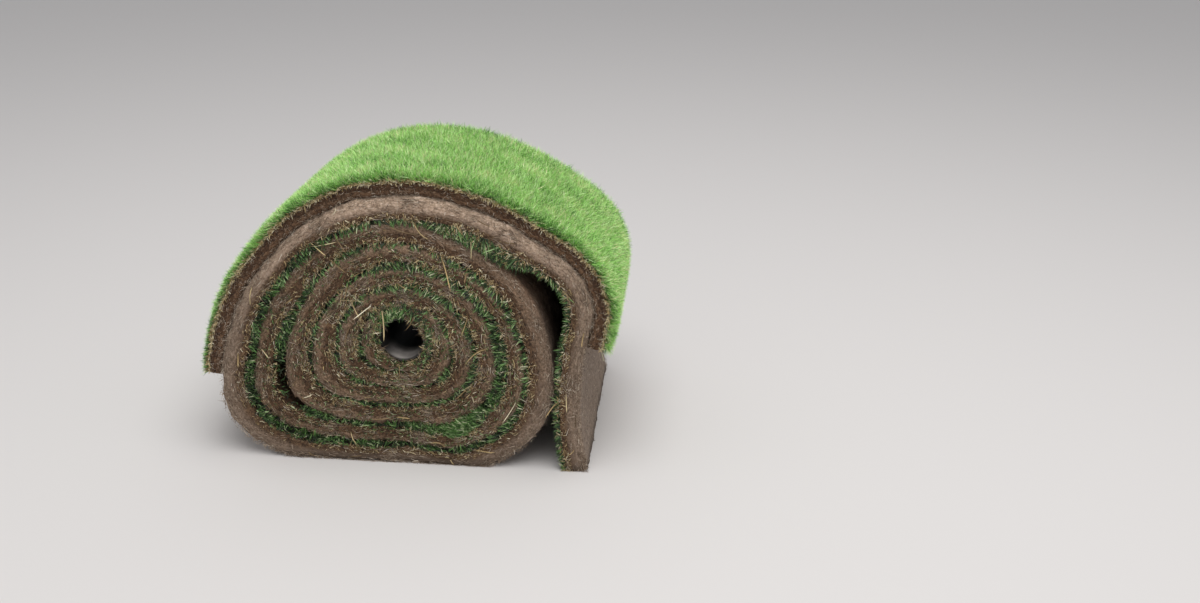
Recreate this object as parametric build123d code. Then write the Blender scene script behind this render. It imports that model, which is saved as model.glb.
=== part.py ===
from build123d import *
import math
import os

# Roll of turf: a length of turf wound soil side out on a plastic pipe. It has sagged under its own
# weight into a flat-bottomed oval, and its outer end has come loose and hangs down to the floor.
# A second, smaller turf lies over it, grass side up. Millimetres, +Z up, the roll's axis along Y,
# and the end that the viewer sees faces -Y. The part rests on z = 0, with its middle on x = y = 0.

# Turf
roll_width = 410.0        # width the turf was cut at, along Y
turns = 6.4               # wound turns between the pipe and the place where the loose end lifts off
mat_share = 0.66          # share of each turn's pitch that is soil and thatch; the rest is grass
loosening = 1.3           # above 1 the outer turns lie wider apart than the inner ones
grass_set_back = 5.0      # the soft grass ends this far behind the cut soil at each end of the roll

# Sag: how far the outermost turn reaches from the pipe's axis, every 30 degrees. The first value
# points along +X, the fourth straight up, the tenth straight down.
core_height = 222.0
reach = [273.0, 254.0, 236.0, 240.0, 241.0, 252.0, 297.0, 352.0, 281.0, 243.0, 285.0, 300.0]

# Loose outer end, from the place where it leaves the winding down to the floor
lift_off = 95.0           # degrees from +X, seen from the front
loose_end = [(110.0, 447.0), (175.0, 420.0), (242.0, 380.0), (292.0, 334.0), (307.0, 285.0),
             (296.0, 210.0), (289.0, 130.0), (291.0, 60.0), (300.0, 0.0)]
loose_mat = 34.0          # soil and thatch where nothing squeezes them
loose_grass = 12.0        # grass on the inner side of the loose end
slack_run = 130.0         # the mat swells to its free thickness over this length

# Pipe in the middle
pipe_od = 75.0
pipe_wall = 3.2
pipe_set_back = 12.0      # each end of the pipe stops this far inside the roll
pipe_clearance = 0.3      # between the pipe and the innermost turn

# Turf laid over the roll, grass side up
strip_width = 305.0
strip_length = 915.0
strip_mat = 25.0
strip_grass = 14.0        # its grass, to where it feels firm, flattened to half near the left end
strip_flat_run = 260.0    # length over which the grass comes up to its full height
strip_set_back = 2.0      # its front edge lies this far behind the roll's front end
strip_grass_inset = 4.0   # the grass starts this far inside the mat's front and back edges
strip_clearance = 0.4     # between its soil side and the roll
strip_lead = 450.0        # length of it that lies before the place where the loose end lifts off

# Drawing steps: every curve is a row of arcs, each over two steps
wind_step = 10.0          # degrees on the outermost turn
groove_step = 15.0        # degrees on the grooves between the turns
laid_step = 16.0          # length along the loose end or the laid-over turf
sink = 3.0                # the sagged underside is pressed flat over this depth
groove_margin = 1.5       # the loose end's groove is this much narrower where it laps the next one
eps = 1.0                 # cutters run past what they cut by this much

lap_angle = 3.0           # degrees by which the loose end's sections lap into the winding

full_turn = 360.0
seat_r = pipe_od / 2 + pipe_clearance
wind_end = lift_off + full_turn * turns


def smooth_reach(angle):
    """Reach of the outermost turn at an angle: a smooth closed curve through the 12 values."""
    place = (angle / 30.0) % 12
    i = int(place)
    t = place - i
    p0, p1, p2, p3 = [reach[(i + k) % 12] for k in (-1, 0, 1, 2)]
    slope_1, slope_2 = (p2 - p0) / 2, (p3 - p1) / 2
    return (p1 * (2 * t**3 - 3 * t**2 + 1) + slope_1 * (t**3 - 2 * t**2 + t)
            + p2 * (3 * t**2 - 2 * t**3) + slope_2 * (t**3 - t**2))


def wound_radius(angle):
    """Distance of the soil side from the pipe's axis, wound inwards to this angle."""
    left = max(0.0, 1 - (angle - lift_off) / (wind_end - lift_off))
    return seat_r + (smooth_reach(angle) - seat_r) * left**loosening


def pitch(angle):
    return wound_radius(angle) - wound_radius(angle + full_turn)


def polar(radius, angle):
    a = math.radians(angle)
    return (radius * math.cos(a), core_height - sink + radius * math.sin(a))


def soil_side(angle):
    return polar(wound_radius(angle), angle)


def thatch_side(angle):
    """Inner side of the mat, where its grass begins."""
    return polar(wound_radius(angle) - mat_share * pitch(angle), angle)


def steps(start, end, size=wind_step):
    """Values from start to end in an even number of equal steps."""
    count = 2 * max(1, math.ceil(abs(end - start) / size / 2))
    return [start + (end - start) * i / count for i in range(count + 1)]


def arcs(points):
    return [ThreePointArc(*three) for three in zip(points[::2], points[1::2], points[2::2])]


def closed_face(one_side, other_side):
    """Face between two smooth runs of points, joined by straight lines where their ends differ."""
    edges = arcs(one_side) + arcs(other_side)
    for end, start in ((one_side[-1], other_side[0]), (other_side[-1], one_side[0])):
        if math.dist(end, start) > 1e-6:
            edges.append(Line(end, start))
    return make_face(Curve() + edges)


def through(face, y_from, y_to):
    """The face, drawn in X and Z, as a solid between two places along Y."""
    return Plane.XZ.offset(-y_to) * extrude(face, y_to - y_from)


def winding():
    """Soil side of the outermost wound turn, from the place where the loose end lifts off."""
    return Wire(arcs([soil_side(a) for a in steps(lift_off, lift_off + full_turn)]))


def loose_run():
    """Soil side of the loose end, which leaves the winding without a kink."""
    before, start = soil_side(lift_off + 2), soil_side(lift_off)
    away = (start[0] - before[0], start[1] - before[1])
    points = [start] + [(x, z - (sink if z == 0 else 0)) for x, z in loose_end]
    return Spline(*points, tangents=[away, (0.1, -1)])


def beside(curve, run, depth):
    """Point at a length along a curve, moved to its right by a depth."""
    place, way = curve @ (run / curve.length), curve % (run / curve.length)
    return (place.X + way.Y * depth, place.Y - way.X * depth)


def inward(curve, depth_at):
    """Points on the right of a curve, at a depth that depends on the length run so far."""
    return [beside(curve, run, depth_at(run)) for run in steps(0, curve.length, laid_step)]


def loose_mat_at(run):
    tight = mat_share * pitch(lift_off)
    swell = min(1.0, run / slack_run)
    return tight + (loose_mat - tight) * swell


def loose_grass_at(run):
    return loose_mat_at(run) + loose_grass


def wound_section():
    edge = winding()
    return make_face(Curve() + [*edge.edges(), Line(edge @ 1, edge @ 0)])


def loose_section():
    """Section of the loose end with its grass, and a wedge that laps into the winding."""
    curve = loose_run()
    soil = inward(curve, lambda run: 0)
    grass = inward(curve, loose_grass_at)[::-1]
    root = polar(wound_radius(lift_off) - loose_grass_at(0), lift_off + lap_angle)
    edges = arcs(soil) + arcs(grass)
    edges += [Line(soil[-1], grass[0]), Line(grass[-1], root), Line(root, soil[0])]
    return make_face(Curve() + edges)


def roll_outline():
    return wound_section() + loose_section()


def wound_grooves():
    """Grass between the wound turns: the spiral gap from thatch to the next soil side, by halves."""
    starts = steps(lift_off, wind_end - full_turn, full_turn / 2)
    faces = []
    for start, stop in zip(starts, starts[1:]):
        angles = steps(start, stop, groove_step)
        outer = [thatch_side(a) for a in angles]
        inner = [soil_side(a + full_turn) for a in angles]
        faces.append(closed_face(outer, inner[::-1]))
    return faces


def loose_groove():
    """Grass on the inner side of the loose end, lapped into the first wound groove."""
    curve = loose_run()
    mat = inward(curve, loose_mat_at)
    past_grass = inward(curve, lambda run: loose_grass_at(run) + eps)[::-1]
    at = lift_off + lap_angle
    thatch = wound_radius(at) - mat_share * pitch(at)
    lap = [polar(thatch - groove_margin, at), polar(wound_radius(at + full_turn) + groove_margin, at)]
    edges = arcs(mat) + arcs(past_grass)
    edges += [Line(mat[-1], past_grass[0]), Line(past_grass[-1], lap[1]), Line(*lap), Line(lap[0], mat[0])]
    return make_face(Curve() + edges) - wound_section()


def pipe_ring(radius):
    return Pos(0, core_height - sink) * Circle(radius)


def flat_below(solid):
    """The solid without what has sunk below z = 0, so that it lies flat."""
    span = 4 * max(reach)
    return solid - Pos(0, 0, -span / 2) * Box(span, 2 * roll_width, span)


def at_both_ends(face, depth):
    """The face as two cutters that reach a depth into the roll from its front and its back end."""
    front = through(face, -roll_width / 2 - eps, -roll_width / 2 + depth)
    back = through(face, roll_width / 2 - depth, roll_width / 2 + eps)
    return [front, back]


def turf_roll():
    solid = through(roll_outline(), -roll_width / 2, roll_width / 2)
    solid -= through(pipe_ring(seat_r), -roll_width / 2 - eps, roll_width / 2 + eps)
    for face in [*wound_grooves(), loose_groove()]:
        solid -= at_both_ends(face, grass_set_back)
    return flat_below(solid)


def core_tube():
    length = roll_width - 2 * pipe_set_back
    ring = pipe_ring(pipe_od / 2) - pipe_ring(pipe_od / 2 - pipe_wall)
    return through(ring, -length / 2, length / 2)


def over_roll(run, lift):
    """Point above the roll's soil side, at a length from the left end of the laid-over turf."""
    if run < strip_lead:
        return beside(winding(), strip_lead - run, lift)
    return beside(loose_run(), run - strip_lead, -lift)


def over_roll_run(lift_at, past_end=0.0):
    """Curve over the roll, as long as the laid-over turf and past its ends by a little."""
    runs = steps(-past_end, strip_length + past_end, laid_step)
    return [over_roll(run, lift_at(run)) for run in runs]


def grass_top(run):
    upright = min(1.0, max(0.0, run / strip_flat_run))
    return strip_clearance + strip_mat + strip_grass * (0.5 + 0.5 * upright)


def draped_strip():
    front = -roll_width / 2 + strip_set_back
    back = front + strip_width
    under = over_roll_run(lambda run: strip_clearance)
    solid = through(closed_face(under, over_roll_run(grass_top)[::-1]), front, back)
    thatch = over_roll_run(lambda run: strip_clearance + strip_mat, 2 * eps)
    beyond = over_roll_run(lambda run: grass_top(run) + 5 * eps, 2 * eps)
    grass = closed_face(thatch, beyond[::-1])
    solid -= through(grass, front - eps, front + strip_grass_inset)
    solid -= through(grass, back - strip_grass_inset, back + eps)
    return solid


def build():
    made = {"turf_roll": turf_roll(), "core_tube": core_tube(), "draped_strip": draped_strip()}
    boxes = [solid.bounding_box() for solid in made.values()]
    middle = (min(box.min.X for box in boxes) + max(box.max.X for box in boxes)) / 2
    os.makedirs("parts", exist_ok=True)
    for name, solid in made.items():
        export_step(Pos(-middle, 0, 0) * solid, f"parts/{name}.step")


build()
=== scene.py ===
# %% [markdown]
# # A roll of turf
# Turf is lawn that is cut from the field as a long mat: a soil side full of roots, a thin line of
# straw-coloured thatch, and the grass. It is wound round a plastic pipe with the soil side out.
# This one has sagged, its outer end has come loose and hangs down on the right, and a smaller piece
# of turf lies over it with its grass up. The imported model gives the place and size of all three.

# %% Load the frame
import math

import bpy
import numpy as np
from mathutils import Matrix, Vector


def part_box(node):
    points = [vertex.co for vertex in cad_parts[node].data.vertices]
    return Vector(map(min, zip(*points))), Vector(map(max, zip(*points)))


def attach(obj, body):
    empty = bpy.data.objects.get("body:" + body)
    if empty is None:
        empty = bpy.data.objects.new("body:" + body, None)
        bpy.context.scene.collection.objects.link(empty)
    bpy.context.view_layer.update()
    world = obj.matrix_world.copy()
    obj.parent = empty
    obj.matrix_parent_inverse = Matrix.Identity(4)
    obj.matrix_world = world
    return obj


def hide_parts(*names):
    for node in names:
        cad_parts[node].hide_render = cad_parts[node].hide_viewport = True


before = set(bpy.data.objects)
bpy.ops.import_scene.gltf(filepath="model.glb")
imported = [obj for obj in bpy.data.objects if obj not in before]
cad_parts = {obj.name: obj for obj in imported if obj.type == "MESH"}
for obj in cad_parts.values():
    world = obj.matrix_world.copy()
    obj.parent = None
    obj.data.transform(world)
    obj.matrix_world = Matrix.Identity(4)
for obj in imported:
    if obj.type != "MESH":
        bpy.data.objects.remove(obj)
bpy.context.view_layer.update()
MM = 0.001
ENDS = (("front", -1), ("back", 1))
print("nodes in the frame:", sorted(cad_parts))

# %% [markdown]
# ## The camera
# The viewer stands in front of the roll's end, looks down on it and a little to the left. The focal
# length is a number of picture widths, so the lens follows from the sensor's width.

# %% Camera
SENSOR_MM = 36.0
FOCAL_PIXELS, PICTURE_PIXELS = 1190.0, 1200.0
EYE = (0.451, -1.902, 1.000)
LOOK_DOWN, LOOK_LEFT, TILT = 22.24, 4.65, 0.59

bpy.ops.object.camera_add()
camera = bpy.context.object
camera.name = "camera"
camera.data.sensor_fit = "HORIZONTAL"
camera.data.sensor_width = SENSOR_MM
camera.data.lens = SENSOR_MM * FOCAL_PIXELS / PICTURE_PIXELS
turned = Matrix.Rotation(math.radians(LOOK_LEFT), 4, "Z")
turned @= Matrix.Rotation(math.radians(90 - LOOK_DOWN), 4, "X")
turned @= Matrix.Rotation(math.radians(TILT), 4, "Z")
camera.matrix_world = Matrix.Translation(EYE) @ turned
bpy.context.scene.camera = camera
print("lens %.1f mm" % camera.data.lens)

# %% [markdown]
# ## Colours and nodes
# Colours are written as sRGB hex values, as a colour picker gives them, and turned to the linear
# values that the renderer adds up. One small function adds a node with its settings and links.

# %% Helpers for materials


def colour(hex_value):
    """Linear RGBA of an sRGB hex value such as #87b35f."""
    parts = [int(hex_value[i : i + 2], 16) / 255 for i in (1, 3, 5)]
    linear = [c / 12.92 if c <= 0.04045 else ((c + 0.055) / 1.055) ** 2.4 for c in parts]
    return (*linear, 1.0)


def add(tree, kind, inputs=None, stops=None, **settings):
    """Adds a shader node and gives back its outputs. inputs maps a socket to a value or an output."""
    made = tree.nodes.new("ShaderNode" + kind)
    for name, value in settings.items():
        setattr(made, name, value)
    for name, value in (inputs or {}).items():
        if isinstance(value, bpy.types.NodeSocket):
            tree.links.new(value, made.inputs[name])
        else:
            made.inputs[name].default_value = value
    for i, (place, hex_value) in enumerate(stops or ()):
        stop = made.color_ramp.elements[i] if i < 2 else made.color_ramp.elements.new(place)
        stop.position = place
        stop.color = colour(hex_value)
    return made.outputs


def new_material(name, roughness, ior=1.5):
    """A material with only its Principled shader, and that shader's tree."""
    made = bpy.data.materials.new(name)
    made.use_nodes = True
    shader = made.node_tree.nodes["Principled BSDF"]
    shader.inputs["Roughness"].default_value = roughness
    shader.inputs["IOR"].default_value = ior
    return made, made.node_tree, shader


print("#87b35f in linear values:", [round(part, 3) for part in colour("#87b35f")[:3]])

# %% [markdown]
# ## Light and floor
# A pale floor, a pale sky all round and one big soft lamp high up in front of the roll, so that what
# faces up is bright and the end that faces the viewer is softly shaded. Together they come to about
# the level at which a colour renders as it is written.

# %% Light and floor
SKY_STRENGTH = 0.53
LAMP_WATTS = 124.0
LAMP_PLACE = (0.6, -1.1, 3.8)
LAMP_SIZE = 3.4
FLOOR_SIZE = 60.0

world = bpy.data.worlds.new("soft_sky")
world.use_nodes = True
bpy.context.scene.world = world
sky = world.node_tree.nodes["Background"].inputs
sky["Color"].default_value, sky["Strength"].default_value = colour("#f4f6fa"), SKY_STRENGTH

bpy.ops.object.light_add(type="AREA", location=LAMP_PLACE)
lamp = bpy.context.object
lamp.name = "soft_lamp"
lamp.data.shape = "DISK"
lamp.data.size = LAMP_SIZE
lamp.data.energy = LAMP_WATTS
lamp.rotation_euler = (-lamp.location.normalized()).to_track_quat("-Z", "Y").to_euler()

bpy.ops.mesh.primitive_plane_add(size=FLOOR_SIZE)
floor = bpy.context.object
floor.name = "floor"
floor_finish, _, shader = new_material("pale_matte_floor", roughness=0.9)
shader.inputs["Base Color"].default_value = colour("#d6d2cf")
floor.data.materials.append(floor_finish)
print("lamp", lamp.data.energy, "W, sky", SKY_STRENGTH)

# %% [markdown]
# ## The curve of the soil side
# All of the roll follows one curve, the soil side of the turf: from the foot of the loose end, up to
# the winding, and then almost six and a half times round to the pipe. The winding's distance from the
# pipe's axis is a smooth closed outline that shrinks as it winds in, with the solid model's values.
# Lengths are in metres, and angles in degrees, which start at the right and grow as the turf winds in.

# %% Driving values of the winding
FULL_TURN = 360.0
REACH_STEP = 30.0
REACH = np.array([273, 254, 236, 240, 241, 252, 297, 352, 281, 243, 285, 300]) * MM
LIFT_OFF = 95.0
TURNS = 6.4
LOOSENING = 1.3
PIPE_CLEARANCE = 0.3 * MM
LOOSE_MAT = 34 * MM
LOOSE_GRASS = 12 * MM
SLACK_RUN = 130 * MM

pipe_low, pipe_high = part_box("core_tube")
roll_low, roll_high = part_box("turf_roll")
CORE_X, CORE_Z = (pipe_low.x + pipe_high.x) / 2, (pipe_low.z + pipe_high.z) / 2
SEAT = (pipe_high.x - pipe_low.x) / 2 + PIPE_CLEARANCE
HALF_WIDTH = (roll_high.y - roll_low.y) / 2
WIND_END = LIFT_OFF + FULL_TURN * TURNS
print("pipe's axis at x %.4f z %.4f, half width %.3f" % (CORE_X, CORE_Z, HALF_WIDTH))

# %% [markdown]
# Some small functions come back all through the lesson.

# %% Ramps, waves and curves


def ramp(values, start, end):
    """0 at start, 1 at end, and no further on either side. end may be the lower of the two."""
    return np.clip((values - start) / (end - start), 0, 1)


def waves(at, terms):
    """Sum of sine waves. Each term is a height, a rate and a start, in radians."""
    return sum(height * np.sin(rate * at + start) for height, rate, start in terms)


def unit(vectors):
    """Vectors of length 1 that point the same way."""
    return vectors / np.maximum(np.linalg.norm(vectors, axis=-1, keepdims=True), 1e-9)


def walked(places):
    """Length walked up to each of a row of places."""
    return np.concatenate([[0], np.cumsum(np.linalg.norm(np.diff(places, axis=0), axis=1))])


def humps(angle, places):
    """Sum of smooth humps. Each has its angle, how far it spreads and its height."""
    return sum(height * np.exp(-(((angle - centre) / spread) ** 2)) for centre, spread, height in places)


def eased(start, end, first_slope, last_slope, t):
    """A cubic curve from start to end with a slope at each end, at shares t of the way."""
    curve = start * (2 * t**3 - 3 * t**2 + 1) + end * (3 * t**2 - 2 * t**3)
    return curve + first_slope * (t**3 - 2 * t**2 + t) + last_slope * (t**3 - t**2)


# %% [markdown]
# The real turns aren't even: some lie wide apart with grass between them, and others are squeezed
# flat. So inside the outermost turn the distance wavers by some 3 mm. That starts over a quarter turn
# and dies down towards the pipe. The share of each turn that is soil wavers too, and drops where the
# grass shows widest. Each such place has its angle along the winding, how far it spreads and how much
# it changes. At two places the grass is fresher as well.

# %% Radius and share of soil along the winding
WAVER = 3 * MM
WAVER_WAVES = [(1, 2.3, 0), (0.25, 5.1, 1)]
WIDE_GRASS = [
    (190, 60, 0.07), (262, 35, 0.06), (548, 45, 0.18), (566, 10, 0.06),
    (660, 22, 0.19), (715, 75, 0.28), (1130, 50, 0.16), (1905, 45, 0.62),
]
FRESH_GRASS = [(660, 20, 0.50), (1905, 45, 0.35)]
SOIL_SHARE, MORE_INSIDE = 0.82, 0.08
LEAST_SOIL, MOST_SOIL = 0.25, 0.94
SOIL_WAVES = [(0.04, 1.7, 0), (0.04, 4.3, 0.5), (0.03, 11.7, 2)]


def reach(angle):
    """Smooth closed curve through the 12 reaches."""
    place = (angle / REACH_STEP) % len(REACH)
    i = place.astype(int)
    p0, p1, p2, p3 = (REACH[(i + k) % len(REACH)] for k in (-1, 0, 1, 2))
    return eased(p1, p2, (p2 - p0) / 2, (p3 - p1) / 2, place - i)


def wound_radius(angle):
    """Distance of the soil side from the pipe's axis."""
    left = ramp(angle, WIND_END, LIFT_OFF)
    inner = ramp(angle, LIFT_OFF + FULL_TURN, LIFT_OFF + 1.25 * FULL_TURN)
    inner = inner * ramp(left, 0, 0.15) * ramp(left, 0, 0.8)
    waver = WAVER * waves(np.radians(angle), WAVER_WAVES) * inner
    return SEAT + (reach(angle) - SEAT) * left**LOOSENING + waver


def soil_share(angle):
    """Share of a turn's pitch that is soil and thatch."""
    inner = (angle - LIFT_OFF) / (WIND_END - LIFT_OFF)
    share = SOIL_SHARE + MORE_INSIDE * inner + waves(np.radians(angle), SOIL_WAVES)
    return np.clip(share - humps(angle, WIDE_GRASS), LEAST_SOIL, MOST_SOIL)


print("outermost turn %.0f to %.0f mm from the axis" % (REACH.min() / MM, REACH.max() / MM))

# %% [markdown]
# The loose end is a smooth curve through a few listed points. The last is 3 mm under
# the floor, and what would lie under the floor is later moved up to it. A cubic spline has no kink and
# no sudden change of bend, as a strip that hangs by its own weight. Its slopes come from a small set of
# equations, one for each point.

# %% Smooth curve through points
LOOSE_END = [
    (110, 447), (175, 420), (242, 380), (292, 334), (307, 285),
    (296, 210), (289, 130), (291, 60), (300, -3),
]
LOOSE_STEPS = 700


def smooth_through(points, first_way, last_way, count):
    """Places along a cubic spline through points, with set directions at its two ends."""
    knots = walked(points)
    gaps = np.diff(knots)
    system = np.eye(len(points))
    known = np.zeros((len(points), 2))
    known[0], known[-1] = first_way, last_way
    for i in range(1, len(points) - 1):
        before, after = gaps[i - 1], gaps[i]
        system[i, i - 1 : i + 2] = after, 2 * (before + after), before
        rise_before, rise_after = points[i] - points[i - 1], points[i + 1] - points[i]
        known[i] = 3 * (before * rise_after / after + after * rise_before / before)
    slopes = np.linalg.solve(system, known)
    at = np.linspace(0, knots[-1], count)
    i = np.clip(np.searchsorted(knots, at, side="right") - 1, 0, len(gaps) - 1)
    t, gap = ((at - knots[i]) / gaps[i])[:, None], gaps[i][:, None]
    return eased(points[i], points[i + 1], gap * slopes[i], gap * slopes[i + 1], t)


# %% [markdown]
# The two parts together are the whole curve, from the foot of the loose end to the pipe, and a place
# on the turf is told by its length along it. The way in from the soil side is square to the curve on
# the loose end, and towards the pipe's axis on the winding.

# %% The whole curve
ANGLE_STEP = 0.5
BLEND_RUN = 60 * MM

angles = np.arange(LIFT_OFF, WIND_END, ANGLE_STEP)
radii = wound_radius(angles)
wound = np.c_[CORE_X + radii * np.cos(np.radians(angles)), CORE_Z + radii * np.sin(np.radians(angles))]
hung = np.array(LOOSE_END) * MM + (CORE_X, 0)
off_winding, down = unit(wound[0] - wound[4]), unit(np.array((0.1, -1)))
loose = smooth_through(np.vstack([wound[:1], hung]), off_winding, down, LOOSE_STEPS)[::-1]

path = np.vstack([loose, wound[1:]])
run = walked(path)
LIFT_RUN = run[len(loose) - 1]
LENGTH = run[-1]
way = unit(np.gradient(path, run, axis=0))
left_of_way = np.c_[-way[:, 1], way[:, 0]]
to_core = unit((CORE_X, CORE_Z) - path)
wound_part = ramp(run, LIFT_RUN, LIFT_RUN + BLEND_RUN)[:, None]
inwards = unit(left_of_way * (1 - wound_part) + to_core * wound_part)
print("length %.2f m, loose end %.3f m" % (LENGTH, LIFT_RUN))

# %% [markdown]
# Between one soil side and the next lie the mat and a gap with its grass. The loose end's mat swells
# to its full thickness once nothing presses on it. Close to the place where it lifts off, its grass
# isn't pressed either: there it fills the narrow wedge down to the winding, up to 28 mm.

# %% Thickness of the mat and of the gap
FACING_ANGLES = (330, 470)
WEDGE_GRASS = 28 * MM
WEDGE_CLEARANCE, WEDGE_FADE = 38 * MM, 8 * MM
WEDGE_RUN, WEDGE_RUN_FADE = 270 * MM, 30 * MM

pitch = radii - wound_radius(angles + FULL_TURN)
from_lift = LIFT_RUN - run[: len(loose) - 1]
tight = soil_share(angles)[0] * pitch[0]
loose_mat = tight + (LOOSE_MAT - tight) * ramp(from_lift, 0, SLACK_RUN)
mat = np.concatenate([loose_mat, soil_share(angles) * pitch])
under = loose[:-1] + inwards[: len(loose_mat)] * loose_mat[:, None]
facing = wound[(angles > FACING_ANGLES[0]) & (angles < FACING_ANGLES[1])]
clearance = np.linalg.norm(under[:, None] - facing[None], axis=2).min(axis=1)
in_wedge = ramp(clearance, WEDGE_CLEARANCE, WEDGE_CLEARANCE - WEDGE_FADE)
in_wedge = in_wedge * ramp(from_lift, WEDGE_RUN, WEDGE_RUN - WEDGE_RUN_FADE)
loose_grass = LOOSE_GRASS + (np.clip(clearance, LOOSE_GRASS, WEDGE_GRASS) - LOOSE_GRASS) * in_wedge
gap = np.concatenate([loose_grass, (1 - soil_share(angles)) * pitch])
turn_angle = np.concatenate([np.full(len(loose_mat), LIFT_OFF), angles])
FIRST_TURN_END = np.interp(LIFT_OFF + FULL_TURN, turn_angle, run)
print("gap of %.1f to %.1f mm" % (gap.min() / MM, gap.max() / MM))


# %% A place in the rolled-up turf


def along(values, runs):
    """Values of the curve at some lengths along it."""
    return np.interp(runs, run, values)


def in_space(values, runs, y=0):
    """Values in X and Z of the curve at some lengths along it, with a Y."""
    x, z = along(values[:, 0], runs), along(values[:, 1], runs)
    return np.stack(np.broadcast_arrays(x, y, z), axis=-1)


def turf_place(runs, depth, y):
    """Places in the roll: how far along the turf, how deep from its soil side, and where across."""
    places = in_space(path, runs, y) + in_space(inwards, runs) * depth[:, None]
    return np.maximum(places, (-np.inf, -np.inf, 0))


# %% [markdown]
# ## Rolling up a flat sheet
# Turf starts flat, and so does its mesh: a grid primitive with one row for each step along the turf
# and one column for each point of its cut profile. Rolling it up by hand would need a bend operator
# for each turn, so every vertex is moved to its place on the curve instead. Its UV map stays in
# metres along and across the turf, so a pattern keeps its real size on it.

# %% Grid that is rolled up


def of_vertices(piece, what="co"):
    """The place or the normal of each vertex."""
    flat = np.empty(len(piece.data.vertices) * 3)
    piece.data.vertices.foreach_get(what, flat)
    return flat.reshape(-1, 3)


def rolled_sheet(name, rows, columns, place, lengths, widths):
    """A grid over rows and columns, its vertices moved by place. lengths and widths give its UV map."""
    bpy.ops.object.select_all(action="DESELECT")
    bpy.ops.mesh.primitive_grid_add(x_subdivisions=len(rows) - 1, y_subdivisions=len(columns) - 1, size=1)
    piece = bpy.context.object
    piece.name = piece.data.name = name
    flat = of_vertices(piece)
    row = np.rint((flat[:, 0] + 0.5) * (len(rows) - 1)).astype(int)
    column = np.rint((flat[:, 1] + 0.5) * (len(columns) - 1)).astype(int)
    piece.data.vertices.foreach_set("co", place(rows[row], columns[column]).ravel())
    corners = np.empty(len(piece.data.loops), dtype=int)
    piece.data.loops.foreach_get("vertex_index", corners)
    uv = np.c_[lengths[row], widths[column]][corners]
    piece.data.uv_layers[0].data.foreach_set("uv", uv.ravel())
    return piece, row, column


def store(piece, name, values):
    """Stores one number for each vertex, which a material reads as an attribute."""
    made = piece.data.attributes.new(name, "FLOAT", "POINT")
    made.data.foreach_set("value", np.asarray(values, dtype=float))


# %% [markdown]
# The real surface is lumpy in several sizes, so cloudy noise displaces each sheet once for each size of
# lump. Nothing may come under the floor.

# %% Roughening a sheet


def select_only(piece):
    bpy.ops.object.select_all(action="DESELECT")
    piece.select_set(True)
    bpy.context.view_layer.objects.active = piece


def roughen(piece, lumps):
    """Displaces a surface by cloudy noise. lumps is a list of (size of a lump, height), in metres."""
    select_only(piece)
    for size, height in lumps:
        texture = bpy.data.textures.new("lumps", "CLOUDS")
        texture.noise_scale = size
        texture.noise_depth = 2
        bpy.ops.object.modifier_add(type="DISPLACE")
        modifier = piece.modifiers[-1]
        modifier.texture = texture
        modifier.texture_coords = "GLOBAL"
        modifier.strength = height
        modifier.mid_level = 0.5
        bpy.ops.object.modifier_apply(modifier=modifier.name)
        bpy.data.textures.remove(texture)
    places = np.maximum(of_vertices(piece), (-np.inf, -np.inf, 0))
    piece.data.vertices.foreach_set("co", places.ravel())
    bpy.ops.object.shade_smooth()
    print(piece.name, len(piece.data.polygons), "faces")


def face_outwards(piece):
    """Turns a sheet's faces over. Rolled up with the soil side out, they come to point inwards."""
    select_only(piece)
    bpy.ops.object.mode_set(mode="EDIT")
    bpy.ops.mesh.select_all(action="SELECT")
    bpy.ops.mesh.flip_normals()
    bpy.ops.object.mode_set(mode="OBJECT")


# %% [markdown]
# ## The cut edge of the mat
# A blade cuts the turf's edges, and handling rounds them: more at the soil corner, less where the
# thatch holds it. Between two turns the edge goes back into a pocket. One profile gives all of this,
# as a list of columns. Each column says how deep it lies from the soil side, and how far in from the
# cut end, in shares of the mat, the two corner radii and the pocket. The inner turns don't end level:
# some stand a few millimetres further in than others, and near the pipe all do. At one place, low on
# the left, two turns stand apart, and a deep crevice opens between them.

# %% Profile of the cut edge
POCKET = 24 * MM
CREVICE_POCKET = 75 * MM
CREVICE_RUN = np.interp((553, 578), turn_angle, run)
UNEVEN_END, MEAN_UNEVEN = 2.2 * MM, 1.3
UNEVEN_WAVES = [(1, 0.83, 0), (0.6, 2.9, 1), (0.4, 7.3, 2)]
CORE_RECESS = 7 * MM
SOIL_CORNER_SHARE, SOIL_CORNER_INSET = (0.42, 0.62), (6.5 * MM, 13.5 * MM)
THATCH_CORNER_SHARE, THATCH_CORNER_INSET = 0.14, 3 * MM


def outermost(runs):
    """1 on the outermost turn and the loose end, 0 further in."""
    return ramp(runs, FIRST_TURN_END + 100 * MM, FIRST_TURN_END - 200 * MM)


def end_inset(runs):
    """How far in the cut end of a turn lies."""
    waver = MEAN_UNEVEN + waves(np.radians(along(turn_angle, runs)), UNEVEN_WAVES)
    near_pipe = ramp(runs, LENGTH - 450 * MM, LENGTH - 150 * MM)
    return UNEVEN_END * (1 - outermost(runs)) * waver * (1 - 0.6 * near_pipe) + CORE_RECESS * near_pipe


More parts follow.
